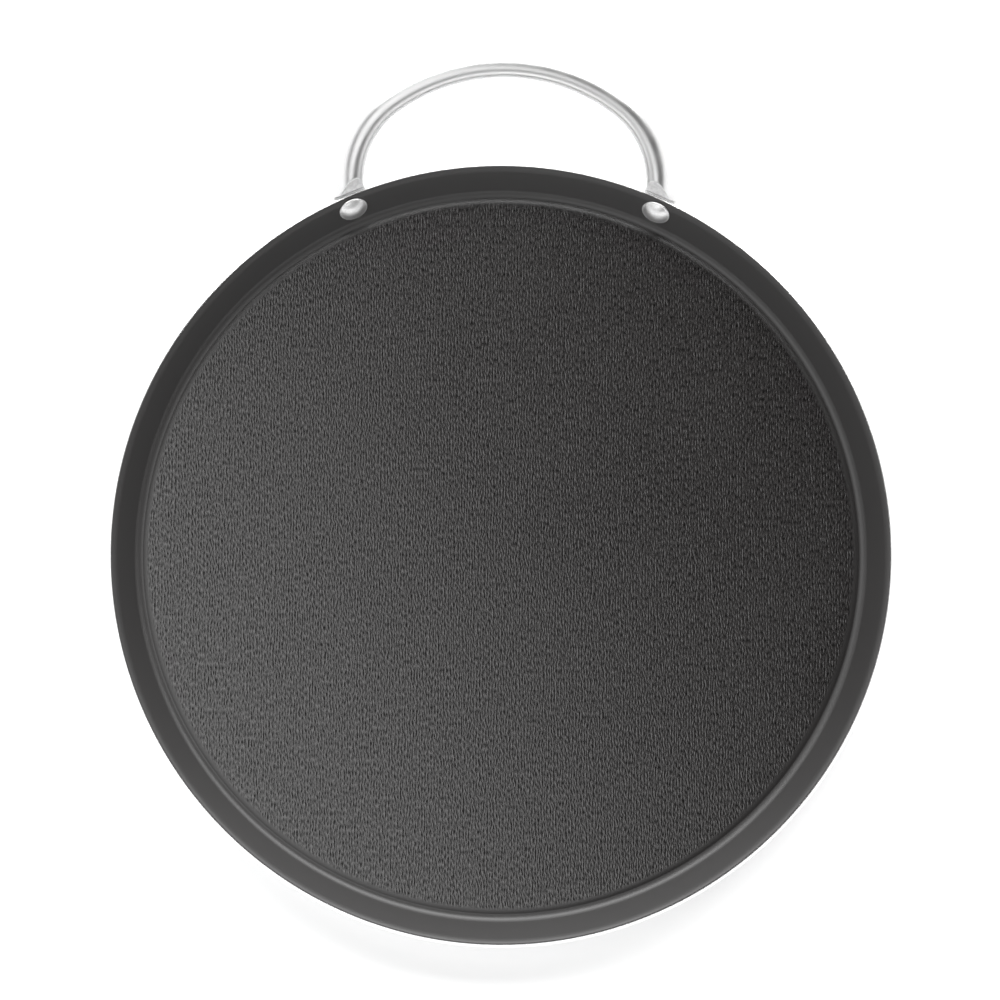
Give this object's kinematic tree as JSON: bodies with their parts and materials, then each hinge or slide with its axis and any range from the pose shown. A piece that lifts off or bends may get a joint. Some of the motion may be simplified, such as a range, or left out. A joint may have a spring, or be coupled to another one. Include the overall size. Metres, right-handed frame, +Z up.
{
  "type": "griddle pan",
  "caption": "Round shallow stovetop griddle pan with a dark non-stick cooking face, a bare metal rim and a bent rod loop handle riveted to its wall.",
  "frame": {"origin": "centre of the base's underside, on the surface that the griddle stands on", "axes": "+Z up, +Y from the middle of the pan towards the middle of the loop handle, +X to the right seen from above with the handle at the top"},
  "size_m": [0.292, 0.3292, 0.036],
  "materials": {
    "pan_metal": "turned, satin",
    "coating": "satin non-stick coating over a linen-textured floor",
    "handle_metal": "polished",
    "rivet_metal": "satin"
  },
  "bodies": {
    "root": {"pan_body": "pan_metal", "nonstick_coating": "coating", "handle": "handle_metal", "rivet_left": "rivet_metal", "rivet_right": "rivet_metal"}
  },
  "joints": []
}
